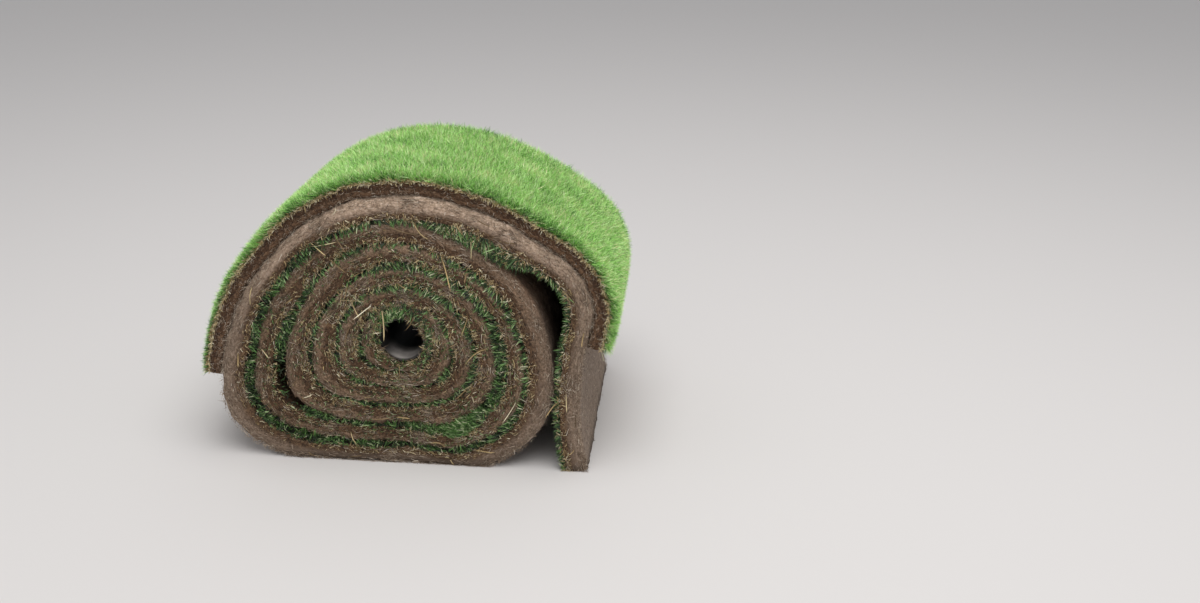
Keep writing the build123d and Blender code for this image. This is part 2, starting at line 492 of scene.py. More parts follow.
def edge_columns(side, corner_steps=6, face_steps=8, thatch_steps=3):
    """Columns from the soil side to the thatch side: side, then shares of mat, corners and pocket."""
    made = [(side, 0, 0, 0, 1 - f, 0, f) for f in (1, 0.5)]
    for t in np.linspace(0, math.pi / 2, corner_steps + 1):
        made.append((side, 0, 1 - math.cos(t), 0, 1 - math.sin(t), 0, 0))
    for f in np.linspace(0, 1, face_steps + 1)[1:]:
        made.append((side, f, 1 - f, -f, 0, 0, 0))
    for t in np.linspace(0, math.pi / 2, thatch_steps + 1)[1:]:
        made.append((side, 1, 0, -(1 - math.sin(t)), 0, 1 - math.cos(t), 0))
    made += [(side, 1, 0, 0, 0, 1 - f, f) for f in (0.3, 0.65, 1)]
    return made


print("cut edge of", len(edge_columns(1)), "columns, crevice %.2f to %.2f m along" % tuple(CREVICE_RUN))

# %% Vertices of the profile


def in_crevice(runs):
    return (runs > CREVICE_RUN[0]) & (runs < CREVICE_RUN[1])


def pocket_depth(runs):
    """How far the pocket between two turns goes in. The loose end is open all the way."""
    loose_part = ramp(runs, LIFT_RUN + 30 * MM, LIFT_RUN - 30 * MM)
    return POCKET + (HALF_WIDTH - POCKET) * loose_part + (CREVICE_POCKET - POCKET) * in_crevice(runs)


def corner_radii(runs):
    """Thickness of the mat, and depth and inset of its two corners. Wear varies by 40 percent."""
    thick, outer = along(mat, runs), outermost(runs)
    worn = 1 + 0.4 * np.sin(runs * 37) * np.sin(runs * 91 + 1)
    soil_depth = thick * np.interp(outer, (0, 1), SOIL_CORNER_SHARE)
    soil_inset = worn * np.interp(outer, (0, 1), SOIL_CORNER_INSET)
    return thick, (soil_depth, soil_inset), (THATCH_CORNER_SHARE * thick, THATCH_CORNER_INSET)


def edge_place(runs, column):
    """Vertices of the profile's columns along the turf."""
    thick, soil_corner, thatch_corner = corner_radii(runs)
    side, mat_share, soil_depth, thatch_depth, soil_in, thatch_in, pocket_in = column.T
    depth = mat_share * thick + soil_depth * soil_corner[0] + thatch_depth * thatch_corner[0]
    inset = soil_in * soil_corner[1] + thatch_in * thatch_corner[1] + pocket_in * pocket_depth(runs)
    inset = np.minimum(inset + end_inset(runs), HALF_WIDTH)
    return turf_place(runs, depth, side * (HALF_WIDTH - inset))


# %% [markdown]
# Each vertex carries three numbers for the soil's finish. layer runs from 0 at the soil side to 1 at
# the thatch. cut is 0 on the outside and 1 on a cut face, or less where that face has dried in the
# open. damp_and_shade is 0 in the open and higher under the loose end and further in, where the soil
# is darker, partly as damp and partly as painted shade.

# %% What each vertex carries
SHELTERED_RUN = np.interp((330, 385), turn_angle, run)
DRIED_CUT = 0.28
# Darker under the loose end and further in: partly damp, partly painted shade.
CUT_DAMP_AND_SHADE, OUTSIDE_DAMP_AND_SHADE = 0.12, 0.33
PROFILE_RUN = 1.0


def rough_sheet(name, runs, columns, place, lumps):
    """A sheet rolled up and roughened. Its UV map is as wide as its profile 1 m along the turf."""
    widths = walked(place(np.full(len(columns), PROFILE_RUN), columns))
    piece, row, column = rolled_sheet(name, runs, columns, place, runs, widths)
    roughen(piece, lumps)
    face_outwards(piece)
    return piece, runs[row], columns[column]


def turf_sheet(name, runs, columns, lumps):
    """A rough sheet of the mat that carries the three numbers."""
    piece, runs, picked = rough_sheet(name, runs, columns, edge_place, lumps)
    _, mat_share, depth_share, _, soil_in, _, pocket_in = picked.T
    thick, (soil_depth, _), _ = corner_radii(runs)
    layer = (mat_share * thick + depth_share * soil_depth) / np.maximum(thick, 0.1 * MM)
    store(piece, "layer", np.clip(layer, 0, 1))
    sheltered = ramp(runs, *SHELTERED_RUN)
    cut = ramp(soil_in, 2 / 3, 0)
    dried = DRIED_CUT + (1 - DRIED_CUT) * np.minimum(cut, ramp(layer, 0.4, 0.85))
    cut = np.where(cut > 0, cut + (dried - cut) * (1 - sheltered), 0)
    cut = np.where(pocket_in > 0, 1, cut)
    store(piece, "cut", cut)
    # Damp and painted shade under the loose end and further in.
    store(piece, "damp_and_shade", sheltered * (OUTSIDE_DAMP_AND_SHADE + (CUT_DAMP_AND_SHADE - OUTSIDE_DAMP_AND_SHADE) * cut))
    return piece


# %% [markdown]
# ## The outermost turn and the loose end
# The outermost turn shows its whole soil side, so it is one sheet from the pocket in front, over the
# cut edge, across the width and down into the pocket at the back.

# %% Outer turn
SKIN_STEP = 4.4 * MM
SKIN_COLUMNS = 84
SKIN_LUMPS = [(60 * MM, 5 * MM), (16 * MM, 3 * MM), (6 * MM, 1.5 * MM)]
LAP = 60 * MM
skin = [(side, 0, 0, 0, 1, 0, 0) for side in np.linspace(-1, 1, SKIN_COLUMNS)[1:-1]]
outer_columns = np.array(edge_columns(-1)[:1:-1] + skin + edge_columns(1)[2:])
outer_runs = np.arange(0, FIRST_TURN_END + LAP, SKIN_STEP)
outer_turn = turf_sheet("outer_turn", outer_runs, outer_columns, SKIN_LUMPS)

# %% [markdown]
# ## The inner turns
# Of the inner turns only the cut edges show, so they are two narrow sheets, one at each end.

# %% Inner turns
INNER_STEP = 2.8 * MM
INNER_LUMPS = [(40 * MM, 6 * MM), (13 * MM, 6 * MM), (5 * MM, 3 * MM)]
inner_runs = np.arange(FIRST_TURN_END + LAP - INNER_STEP, LENGTH, INNER_STEP)
inner_turns = [
    turf_sheet(f"inner_turns_{end}", inner_runs, np.array(edge_columns(side)[::side]), INNER_LUMPS)
    for end, side in ENDS
]

# %% [markdown]
# ## The bottom of the grooves
# Between the turns lies squeezed grass. Its blades are added later. Behind them a dark sheet closes
# the pocket, so that no light comes through the roll.

# %% Groove floors
GROOVE_IN, GROOVE_LAP = 8 * MM, 2 * MM
GROOVE_STEP, GROOVE_COLUMNS = 5 * MM, 5
GROOVE_LUMPS = [(12 * MM, 4 * MM)]
groove_runs = np.arange(LIFT_RUN, LENGTH, GROOVE_STEP)


def groove_place(runs, column):
    """Places from just inside one mat, over the gap, to just inside the next."""
    side, share = column.T
    deep = along(mat, runs) - GROOVE_LAP + share * (along(gap, runs) + 2 * GROOVE_LAP)
    inset = GROOVE_IN + end_inset(runs) + (pocket_depth(runs) - POCKET)
    return turf_place(runs, deep, side * (HALF_WIDTH - np.minimum(inset, HALF_WIDTH - 1 * MM)))


groove_floors = []
for end, side in ENDS:
    columns = np.array([(side, share) for share in np.linspace(0, 1, GROOVE_COLUMNS)[::side]])
    groove_floors.append(rough_sheet(f"groove_{end}", groove_runs, columns, groove_place, GROOVE_LUMPS)[0])

# %% [markdown]
# ## The turf laid over the roll
# It follows the roll's soil side from its left end to the right shoulder. Its front edge stands 6 mm
# behind the roll's, and sinks most of the way on to the rounded rim. Its mat is one closed sheet round
# the whole profile, and the last loops at each end close in on the middle of its thickness. All of it
# is freshly cut. Its cut edges are darker, partly as damp and partly as painted shade, and darkest low
# down: a painted shadow where it lies on the roll. Its top has a value of 1, which the finish turns green.

# %% Place on the laid-over turf
STRIP_LEAD = 450 * MM
STRIP_LENGTH = 915 * MM
STRIP_LIFT = 0.4 * MM
STRIP_MAT = 25 * MM
RIM_SET_BACK, RIM_SINK = 6 * MM, 0.7
strip_low, strip_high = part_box("draped_strip")
STRIP_MIDDLE, STRIP_HALF = (strip_low.y + strip_high.y) / 2, (strip_high.y - strip_low.y) / 2


def strip_place(from_left, lift, y):
    """Places over the roll: length from the laid-over turf's left end, height over the soil side."""
    runs = LIFT_RUN + STRIP_LEAD - from_left
    _, (rim_depth, rim_inset), _ = corner_radii(runs)
    y = np.where(y < 0, y * (HALF_WIDTH - RIM_SET_BACK) / (STRIP_HALF - STRIP_MIDDLE), y)
    past = np.minimum(ramp(np.abs(y), HALF_WIDTH - rim_inset, HALF_WIDTH), 0.99)
    lift = lift - np.where(y < 0, RIM_SINK * rim_depth * (1 - np.sqrt(1 - past**2)), 0)
    return in_space(path, runs, y) - in_space(left_of_way, runs) * lift[:, None]


# %% Profile of the laid-over mat
STRIP_CORNER = 8 * MM
STRIP_STEP = 4 * MM
STRIP_LUMPS = [(30 * MM, 3 * MM), (9 * MM, 3 * MM), (5 * MM, 2 * MM)]
CAP_LOOPS = 7
# Darker cut edges: partly damp, partly painted shade, most at the bottom where the mat lies on the roll.
EDGE_DAMP_AND_SHADE, GREEN_DAMP = (0.5, 0.27), 1.0
WELD = 0.01 * MM


def strip_loop(under_steps=9, top_steps=17, corner_steps=5, rise_steps=8):
    """Height and place across, round the mat's profile, from the middle of its underside."""
    under = [(0, y) for y in np.linspace(0, STRIP_HALF - STRIP_CORNER, under_steps)]
    top = [(STRIP_MAT, y) for y in np.linspace(STRIP_HALF - STRIP_CORNER, 0, top_steps)]
    turns = [(1 - math.cos(t), 1 - math.sin(t)) for t in np.linspace(0, math.pi / 2, corner_steps)]
    corner = [(STRIP_CORNER * h, STRIP_HALF - STRIP_CORNER * inset) for h, inset in turns]
    heights = np.linspace(STRIP_CORNER, STRIP_MAT - STRIP_CORNER, rise_steps)[1:-1]
    rise = [(h, STRIP_HALF) for h in heights]
    half = under[:-1] + corner + rise + [(STRIP_MAT - h, y) for h, y in corner[::-1]] + top[1:]
    return np.array(half + [(h, -y) for h, y in half[::-1][1:]])


def strip_mat_place(rows, columns):
    """Places on the mat. The second number of a row is 1, or less where a cap closes in."""
    middle = STRIP_MAT / 2
    lift = middle + (columns[:, 0] - middle) * rows[:, 1]
    return strip_place(rows[:, 0], STRIP_LIFT + lift, STRIP_MIDDLE + columns[:, 1])


# %% Laid-over mat
opening = [(0, f) for f in np.linspace(0, 1, CAP_LOOPS)]
closing = [(STRIP_LENGTH, 1 - f) for f in np.linspace(0, 1, CAP_LOOPS)]
between = [(r, 1) for r in np.arange(STRIP_STEP, STRIP_LENGTH, STRIP_STEP)]
strip_rows = np.array(opening + between + closing)
strip_columns = strip_loop()
strip_mat, _, column = rolled_sheet(
    "laid_mat", strip_rows, strip_columns, strip_mat_place, strip_rows[:, 0], walked(strip_columns)
)
up_edge = strip_columns[column, 0]
# Painted shade with damp, darkest low down on the cut edge.
damp_and_shade = np.interp(up_edge, (3 * MM, 13 * MM), EDGE_DAMP_AND_SHADE)
store(strip_mat, "layer", up_edge / STRIP_MAT)
store(strip_mat, "cut", np.ones(len(column)))
store(strip_mat, "damp_and_shade", np.where(up_edge > STRIP_MAT - 0.1 * MM, GREEN_DAMP, damp_and_shade))
bpy.ops.object.mode_set(mode="EDIT")
bpy.ops.mesh.select_all(action="SELECT")
bpy.ops.mesh.remove_doubles(threshold=WELD)
bpy.ops.mesh.normals_make_consistent(inside=False)
bpy.ops.object.mode_set(mode="OBJECT")
roughen(strip_mat, STRIP_LUMPS)

# %% [markdown]
# ## One blade of grass
# A blade is a thin flat strip that narrows to its tip. It is modelled as a grid of one column, whose
# last edge is merged to a point: with five rows for long straw, two for a blade of grass and one for a
# small bit. All the grass, roots and straw are copies of these three that are stretched, turned and
# bowed by arrays of numbers, and joined, because half a million objects would be too slow.

# %% The blade


def model_blade(rows):
    """Points and faces of a blade of some rows. The root is at 0 and the tip at 1 along it."""
    bpy.ops.object.select_all(action="DESELECT")
    bpy.ops.mesh.primitive_grid_add(x_subdivisions=1, y_subdivisions=rows, size=1)
    blade = bpy.context.object
    for vertex in blade.data.vertices:
        vertex.select = vertex.co.y > 0.4
    for edge in blade.data.edges:
        edge.select = all(blade.data.vertices[i].select for i in edge.vertices)
    for face in blade.data.polygons:
        face.select = False
    bpy.ops.object.mode_set(mode="EDIT")
    bpy.ops.mesh.merge(type="CENTER")
    bpy.ops.mesh.select_all(action="SELECT")
    bpy.ops.mesh.quads_convert_to_tris()
    bpy.ops.object.mode_set(mode="OBJECT")
    points = np.array([(v.co.x, v.co.y + 0.5) for v in blade.data.vertices])
    faces = np.array([tuple(face.vertices) for face in blade.data.polygons])
    bpy.data.objects.remove(blade)
    print("blade:", len(points), "points,", len(faces), "faces")
    return points, faces


STRAW, BLADE, BIT = model_blade(5), model_blade(2), model_blade(1)

# %% Many blades as one piece
AXIS = np.array((0.0, 1.0, 0.0))
FURTHEST_OUT, OFF_FLOOR = 14 * MM, 0.2 * MM


def blades(name, roots, grow, across, length, width, bow, tone, shape=BLADE):
    """Joined copies of a blade. bow is how far, and which way, the tip is carried off its line."""
    x, t = shape[0].T
    stem = unit(grow)[:, None] * (length[:, None] * t)[..., None] + bow[:, None] * (t**2)[None, :, None]
    spread = unit(across)[:, None] * (width[:, None] * x)[..., None]
    points = (roots[:, None] + stem + spread).reshape(-1, 3)
    points[:, 1] = np.clip(points[:, 1], -HALF_WIDTH - FURTHEST_OUT, HALF_WIDTH + FURTHEST_OUT)
    points[:, 2] = np.maximum(points[:, 2], OFF_FLOOR)
    first = np.arange(len(roots))[:, None, None] * len(x)
    mesh = bpy.data.meshes.new(name)
    mesh.from_pydata(points, [], (shape[1][None] + first).reshape(-1, 3).tolist())
    piece = bpy.data.objects.new(name, mesh)
    bpy.context.collection.objects.link(piece)
    store(piece, "tone", np.repeat(tone, len(x)))
    store(piece, "along", np.tile(t, len(roots)))
    print(name, len(roots), "blades,", len(mesh.polygons), "faces")
    return piece


# %% [markdown]
# ## What grows out of the cut ends
# Grass, thatch and roots make the ends of the roll hairy, and all are strewn along the turf in the
# same way. Each kind has a crowd, which says how many stand where, and ranges for all the rest.

# %% Strewing along the turf
LEAN_VARIES, TWIST = 0.35, 0.8
SWAY_WAVES = [(0.4, 97, 0), (0.4, 41, 2)]


def strew(
    name, side, seed, count, crowd, depth, inset, lean, length, width,
    bow=0.3, whole_width=False, fills_gap=False, shape=BIT,
):
    """Blades strewn along one end of the roll.

    depth is the lowest and highest depth of their roots, each as shares of mat and gap. inset is how
    far in they stand, and lean how far they point towards the pipe, spread along the turn, and point
    out of the end. Lengths are in millimetres, and bow is a share of the length. Grass that fills the
    gap grows with it, and crosses it with little to spare.
    """
    chance = np.random.default_rng(seed)
    weight = np.cumsum(crowd * np.gradient(run))
    runs = np.interp(chance.random(count) * weight[-1], weight, run)
    inward, onward = unit(in_space(inwards, runs)), unit(in_space(way, runs))
    thick, space = along(mat, runs), along(gap, runs)
    low, high = (mats * thick + gaps * space for mats, gaps in depth)
    deep = low + (high - low) * chance.random(count)
    far_in = chance.uniform(*inset, count) * MM + end_inset(runs)
    if whole_width:
        far_in = chance.random(count) ** 2 * 2 * HALF_WIDTH
    roots = turf_place(runs, deep, side * (HALF_WIDTH - far_in))
    to_pipe, spread, out = lean
    grow = inward * chance.normal(to_pipe, LEAN_VARIES, count)[:, None]
    grow = grow + onward * (waves(runs, SWAY_WAVES) + chance.normal(0, spread, count))[:, None]
    grow = unit(grow) + AXIS * (side * chance.uniform(*out, count))[:, None]
    across = np.cross(grow, AXIS) + AXIS * chance.normal(0, TWIST, count)[:, None]
    long = chance.uniform(*length, count) * MM
    if fills_gap:
        long = long * np.where(runs < LIFT_RUN, space / LOOSE_GRASS, 1)
        long = np.minimum(long, 1.25 * space + 4 * MM)
    bend = unit(chance.normal(0, 1, (count, 3))) * (long * chance.uniform(0, bow, count))[:, None]
    wide = chance.uniform(*width, count) * MM
    fresh = along(FRESH, runs)
    tone = fresh + (1 - fresh) * chance.random(count)
    return blades(name, roots, grow, across, long, wide, bend, tone, shape)


# %% [markdown]
# Crowds are patchy. Pressed grass stands thicker where the gap is wider and where it is fresh, and
# thins out towards the pipe and in the crevice. Roots hang together in bunches. The fuzz on the
# outermost turn is four times as thick at the floor, where the edge is ragged.

# %% How many stand where
CROWD_WAVES = [(0.5, 61, 0), (0.5, 157, 1), (0.4, 353, 0)]
BARE_RUN, THIN_RUN = 120 * MM, 1600 * MM
THINNEST, CREVICE_CROWD = 0.15, 0.12

FRESH = humps(turn_angle, FRESH_GRASS)
PATCHY = np.clip(1 + waves(run, CROWD_WAVES), 0.1, 3) * (run < LENGTH - BARE_RUN)
GRASS_CROWD = np.clip(gap - 1 * MM, 0.2 * MM, 18 * MM) * PATCHY * (run > LIFT_RUN) * (1 + 8 * FRESH)
GRASS_CROWD *= np.maximum(ramp(run, LENGTH, LENGTH - THIN_RUN), THINNEST)
GRASS_CROWD *= np.where(in_crevice(run), CREVICE_CROWD, 1)
ROOT_CROWD = 0.5 + 3 * np.clip(np.sin(run * 21 + 1) * np.sin(run * 58 + 2), 0, 1) ** 2
LOOSE_CROWD = 1.0 * (run < LIFT_RUN + 20 * MM)
WEDGE_CROWD = ramp(gap, LOOSE_GRASS, LOOSE_GRASS + 6 * MM) * (run < LIFT_RUN)
OUTER_CROWD = (run < FIRST_TURN_END) * (1 + 3 * ramp(path[:, 1], 50 * MM, 0))
INNER_CROWD = 1.0 * (run > FIRST_TURN_END)
EVEN_CROWD = np.ones(len(run))

# %% [markdown]
# Pressed grass grows from the thatch towards the pipe and lies across the gap, because the next turn
# presses it flat. On the loose end it stands all across the width, and shorter grass and flecks lift
# off into the wedge. Straw-coloured flecks of thatch mark where the grass is rooted. Torn bits of
# grass and straw stick to the cut soil of the inner turns, and a few long straws hang out. Short roots
# lie along the soil, and a fuzz of finer ones stands on the outermost turn's corner.

# %% What is strewn
pressed, flecks, roots_out = [], [], []

# Each row: its list, name, seed, count, crowd, depth, inset, lean, length, width, and what else differs.
STREWN = [
    (pressed, "pressed_grass", 1, 16000, GRASS_CROWD, ((1, -0.1), (1, 0.8)), (-2, 9),
     (1, 0.6, (-0.05, 0.8)), (5, 16), (0.9, 2.3), {"fills_gap": True, "shape": BLADE}),
    (pressed, "loose_end_grass", 2, 8000, LOOSE_CROWD, ((1, -0.1), (1, 0.1)), (0, 1),
     (1, 0.5, (-0.1, 0.4)), (8, 15), (1.0, 1.9), {"whole_width": True, "fills_gap": True, "shape": BLADE}),
    (pressed, "lifting_grass", 9, 3000, WEDGE_CROWD, ((1, 0), (1, 0.85)), (0, 10),
     (0.8, 0.7, (-0.1, 0.6)), (4, 10), (0.9, 1.8), {"shape": BLADE}),
    (pressed, "green_bits", 6, 4200, INNER_CROWD, ((0.2, 0), (1, 0.2)), (-0.5, 1),
     (0.5, 1, (0, 0.5)), (3, 9), (0.9, 2.0), {}),
    (flecks, "thatch_flecks", 3, 12500, PATCHY, ((0.66, 0), (1, 0.35)), (-1, 2),
     (0.7, 0.7, (0, 0.7)), (2.5, 10), (0.7, 1.8), {}),
    (flecks, "lifting_flecks", 10, 700, WEDGE_CROWD, ((1, 0), (1, 0.8)), (-1, 4),
     (0.7, 0.8, (0, 0.5)), (2, 7), (0.8, 1.8), {}),
    (flecks, "straw_bits", 7, 3500, INNER_CROWD, ((0, 0), (0.8, 0)), (-0.5, 1),
     (0.3, 1, (0, 0.5)), (2, 8), (0.8, 1.8), {}),
    (flecks, "long_straw", 8, 110, EVEN_CROWD, ((0.2, 0), (1, 0.5)), (-1, 1),
     (0.3, 1, (0.1, 0.3)), (12, 42), (1.1, 1.7), {"bow": 0.7, "shape": STRAW}),
    (roots_out, "short_roots", 4, 18000, ROOT_CROWD, ((0.05, 0), (1, 0)), (-0.5, 1.5),
     (0.1, 1.6, (-0.1, 0.3)), (3, 17), (0.5, 1.3), {}),
    (roots_out, "edge_fuzz", 5, 9500, OUTER_CROWD, ((-0.02, 0), (0.3, 0)), (0, 9),
     (-0.5, 1.2, (0, 0.7)), (2, 8), (0.4, 0.9), {}),
]
for (end, side), share, first_seed in zip(ENDS, (1.0, 0.6), (10, 20)):
    for pieces, name, seed, count, *manner, more in STREWN:
        pieces.append(strew(f"{name}_{end}", side, first_seed + seed, int(count * share), *manner, **more))

# %% [markdown]
# ## Loose bits on the outside
# On the soil side lie torn roots and crumbs, some paler and some darker than the soil. Each starts
# at a point of the roughened surface and lies nearly flat on it, whichever way it fell.

# %% Bits on the outside
SKIN_BITS, NOT_CUT = 9000, 0.01
BIT_LIFT, BIT_RISE = 0.3 * MM, 0.12

chance = np.random.default_rng(70)
cut = np.empty(len(outer_turn.data.vertices))
outer_turn.data.attributes["cut"].data.foreach_get("value", cut)
picked = chance.choice(np.flatnonzero(cut < NOT_CUT), SKIN_BITS)
places, outwards = of_vertices(outer_turn)[picked], of_vertices(outer_turn, "normal")[picked]
lying = unit(np.cross(outwards, chance.normal(0, 1, (SKIN_BITS, 3))))
roots_out.append(blades(
    "skin_bits", places + outwards * BIT_LIFT, lying + BIT_RISE * outwards, np.cross(lying, outwards),
    chance.uniform(3, 13, SKIN_BITS) * MM, chance.uniform(0.7, 2.0, SKIN_BITS) * MM, lying * 0,
    chance.random(SKIN_BITS), BIT))

# %% [markdown]
# ## Grass round the pipe
# At the pipe the innermost turn shows a ring of grass that hangs over the rim of the hole. Above the
# hole it is longer and starts further out. One long straw hangs over the hole.

# %% Grass at the hole
HOLE_BLADES = 1000


def hole_grass(name, side, seed):
    """Blades round the hole that point at the pipe's axis and out of the end, and hang a little."""
    chance = np.random.default_rng(seed)
    a = chance.uniform(0, 2 * math.pi, HOLE_BLADES)
    out = np.stack([np.cos(a), 0 * a, np.sin(a)], axis=-1)
    above = np.clip(out[:, 2], 0, 1)
    distance = SEAT + (chance.uniform(2, 16, HOLE_BLADES) + 15 * above) * MM
    inset = chance.uniform(2, 11, HOLE_BLADES) * MM
    roots = (CORE_X, 0, CORE_Z) + out * distance[:, None] + AXIS * (side * (HALF_WIDTH - inset))[:, None]
    grow = -out * 0.6 + np.cross(out, AXIS) * chance.normal(0, 0.9, HOLE_BLADES)[:, None]
    grow = unit(grow) + AXIS * (side * chance.uniform(0, 0.7, HOLE_BLADES))[:, None]
    across = np.cross(grow, AXIS) + AXIS * chance.normal(0, 0.4, HOLE_BLADES)[:, None]
    length = chance.uniform(3, 8, HOLE_BLADES) * MM * (1 + 0.6 * above)
    width = chance.uniform(0.9, 1.8, HOLE_BLADES) * MM
    bow = np.array((0, 0, -1.0)) * (length * chance.uniform(0, 0.4, HOLE_BLADES))[:, None]
    return blades(name, roots, grow, across, length, width, bow, 0.9 * chance.random(HOLE_BLADES))


pressed += [hole_grass(f"hole_grass_{end}", side, seed) for (end, side), seed in zip(ENDS, (31, 32))]

straw_root = np.array([(CORE_X - 26 * MM, -HALF_WIDTH - 1 * MM, CORE_Z + 54 * MM)])
straw_grow, straw_across, straw_bow = np.array([[(0.12, -0.1, -1)], [(1, 0.3, 0)], [(-5 * MM, 0, 0)]])
flecks.append(blades(
    "hanging_straw", straw_root, straw_grow, straw_across, np.array([52 * MM]), np.array([1.8 * MM]),
    straw_bow, np.array([0.75]), STRAW))

# %% [markdown]
# ## Grass of the laid-over turf
# Short and dense, each blade upright with a random lean. Each third of the length is two pieces, a
# few long blades and many fine ones, so that none is too heavy. The blades of a tuft, 4.5 mm wide,
# share a part of their length and tone. Those at the edges lean out, and a fringe is darker: painted
# shade. Near the left end, where the turf hangs and turns away from the light, the grass is shorter,
# and darker as painted shade.

# %% Size and lean of the lawn's blades
LONG_BLADES, FINE_BLADES = 14000, 98000
LAWN_GRASS = 22.26 * MM
# The grass of the hanging end is darker: painted shade.
HANGING_RUN, HANGING_SHORTER, HANGING_PAINTED_SHADE = 260 * MM, 0.425, 0.2
LAWN_LEAN, LAWN_SWERVE, EDGE_LEAN = 0.7, 0.25, 0.6
EDGE_BAND, END_BAND = 8 * MM, 10 * MM
# The fringe along the edges is darker: painted shade.
FRINGE, FRINGE_PAINTED_SHADE = 14 * MM, 1.2
PATCH_TONE = 0.06
TUFT, TUFT_GRID = 4.5 * MM, (220, 80)
TUFT_SCATTER, TUFT_LENGTH, TUFT_TONE = 0.25, 0.16, 0.5
TUFTS = np.random.default_rng(40).random(TUFT_GRID)
print("tufts:", TUFTS.shape)

# %% Upright blades


def strip_ways(from_left):
    """Unit vectors out of the laid-over turf and along it."""
    up = -in_space(left_of_way, LIFT_RUN + STRIP_LEAD - from_left)
    return up, np.cross(up, AXIS)


def lawn(name, first, last, seed, count, tall, wide, shape):
    """Upright blades between two places along the laid-over turf, in shares of its length."""
    chance = np.random.default_rng(seed)
    from_left = chance.uniform(first, last, count) * STRIP_LENGTH
    y = chance.uniform(-1, 1, count) * (STRIP_HALF - 1 * MM)
    roots = strip_place(from_left, STRIP_LIFT + STRIP_MAT - 1 * MM, STRIP_MIDDLE + y)
    up, onward = strip_ways(from_left)
    edge = ramp(np.abs(y), STRIP_HALF - EDGE_BAND, STRIP_HALF) * np.sign(y)
    end = ramp(from_left, END_BAND, 0) - ramp(from_left, STRIP_LENGTH - END_BAND, STRIP_LENGTH)
    lean = chance.normal(0, LAWN_LEAN, (2, count))
    tuft_row = (from_left / TUFT + chance.normal(0, TUFT_SCATTER, count)).astype(int)
    tuft_column = ((y + STRIP_HALF) / TUFT + chance.normal(0, TUFT_SCATTER, count)).astype(int)
    tuft = TUFTS[tuft_row % TUFT_GRID[0], tuft_column % TUFT_GRID[1]] - 0.5
    hanging = ramp(from_left, HANGING_RUN, 0)
    grow = up + onward * (lean[0] - EDGE_LEAN * end)[:, None] + AXIS * (lean[1] + EDGE_LEAN * edge)[:, None]
    across = np.cross(unit(grow), unit(chance.normal(0, 1, (count, 3))))
    length = LAWN_GRASS * chance.uniform(*tall, count)
    length = length * (1 - HANGING_SHORTER * hanging) * (1 + TUFT_LENGTH * tuft)
    width = chance.uniform(*wide, count) * MM
    swerve = chance.normal(0, LAWN_SWERVE, (2, count)) * length
    bow = onward * swerve[0][:, None] + AXIS * swerve[1][:, None]
    patch = np.sin(from_left * 47 + 3 * np.sin(y * 31)) + np.sin(from_left * 19 + y * 53)
    patch = patch + np.sin(from_left * 131 + y * 83)
    fringe = ramp(np.abs(y), STRIP_HALF - FRINGE, STRIP_HALF)
    # Painted shade on the fringe and on the hanging end.
    tone = chance.random(count) ** (1 + FRINGE_PAINTED_SHADE * fringe)
    tone = tone + PATCH_TONE * patch + TUFT_TONE * tuft - HANGING_PAINTED_SHADE * hanging
    return blades(name, roots, grow, across, length, width, bow, tone, shape)


# %% Lawn
lawns = []
for i in range(3):
    third = i / 3, (i + 1) / 3
    lawns.append(lawn(f"laid_grass_{i + 1}", *third, 41 + i, LONG_BLADES, (0.8, 1.05), (0.8, 1.5), BLADE))
    lawns.append(lawn(f"laid_fine_grass_{i + 1}", *third, 44 + i, FINE_BLADES, (0.68, 1.0), (0.7, 1.4), BIT))

# %% [markdown]
# At the mat's cut edges stand thatch flecks and short roots, as on the roll.

# %% Flecks and roots on its cut edges


def strip_edge(name, side, seed, count, lift, spread, out, length, width):
    """Blades strewn along one cut edge of the laid-over mat, at heights from lift[0] to lift[1]."""
    chance = np.random.default_rng(seed)
    from_left = chance.random(count) * STRIP_LENGTH
    height = chance.uniform(*lift, count) * STRIP_MAT
    roots = strip_place(from_left, STRIP_LIFT + height, STRIP_MIDDLE + side * (STRIP_HALF - 0.5 * MM))
    up, onward = strip_ways(from_left)
    grow = onward * chance.normal(0, spread, count)[:, None] + up * chance.normal(0.1, 0.6, count)[:, None]
    grow = unit(grow) + AXIS * (side * chance.uniform(*out, count))[:, None]
    across = np.cross(unit(grow), unit(chance.normal(0, 1, (count, 3))))
    long = chance.uniform(*length, count) * MM
    bow = unit(chance.normal(0, 1, (count, 3))) * (long * 0.3)[:, None]
    wide = chance.uniform(*width, count) * MM
    return blades(name, roots, grow, across, long, wide, bow, chance.random(count) ** 0.3, BIT)


for (end, side), seed in zip(ENDS, (50, 60)):
    flecks.append(strip_edge(
        f"laid_flecks_{end}", side, seed, 3400, (0.9, 1.15), 0.8, (0.3, 1.3), (3, 8), (1.6, 3.1)))
    roots_out.append(strip_edge(
        f"laid_roots_{end}", side, seed + 1, 4000, (0, 0.95), 1.4, (-0.1, 0.3), (3, 9), (0.4, 0.9)))

# %% [markdown]
# ## The finish of the soil
# Cut turf is soil that fine roots hold together. Dry, it looks like coarse felt: a dusty brown with no
# shine. A typical roughness is 0.9 to 1, and an IOR of 1.5 is that of sand. What dries first, the
# outside and its rim, is the palest, and a cut face gets darker and redder towards the thatch. The
# pattern has four sizes: grains of 3.4 mm, clods of 15 mm, fibres 9 mm long and 2 mm wide, and on the
# outside flecks 9 mm long and 3.5 mm wide. Real root fibres are thinner, but wouldn't show in the
# render. Fibres and flecks follow the UV map, so they run along the turf round every turn.

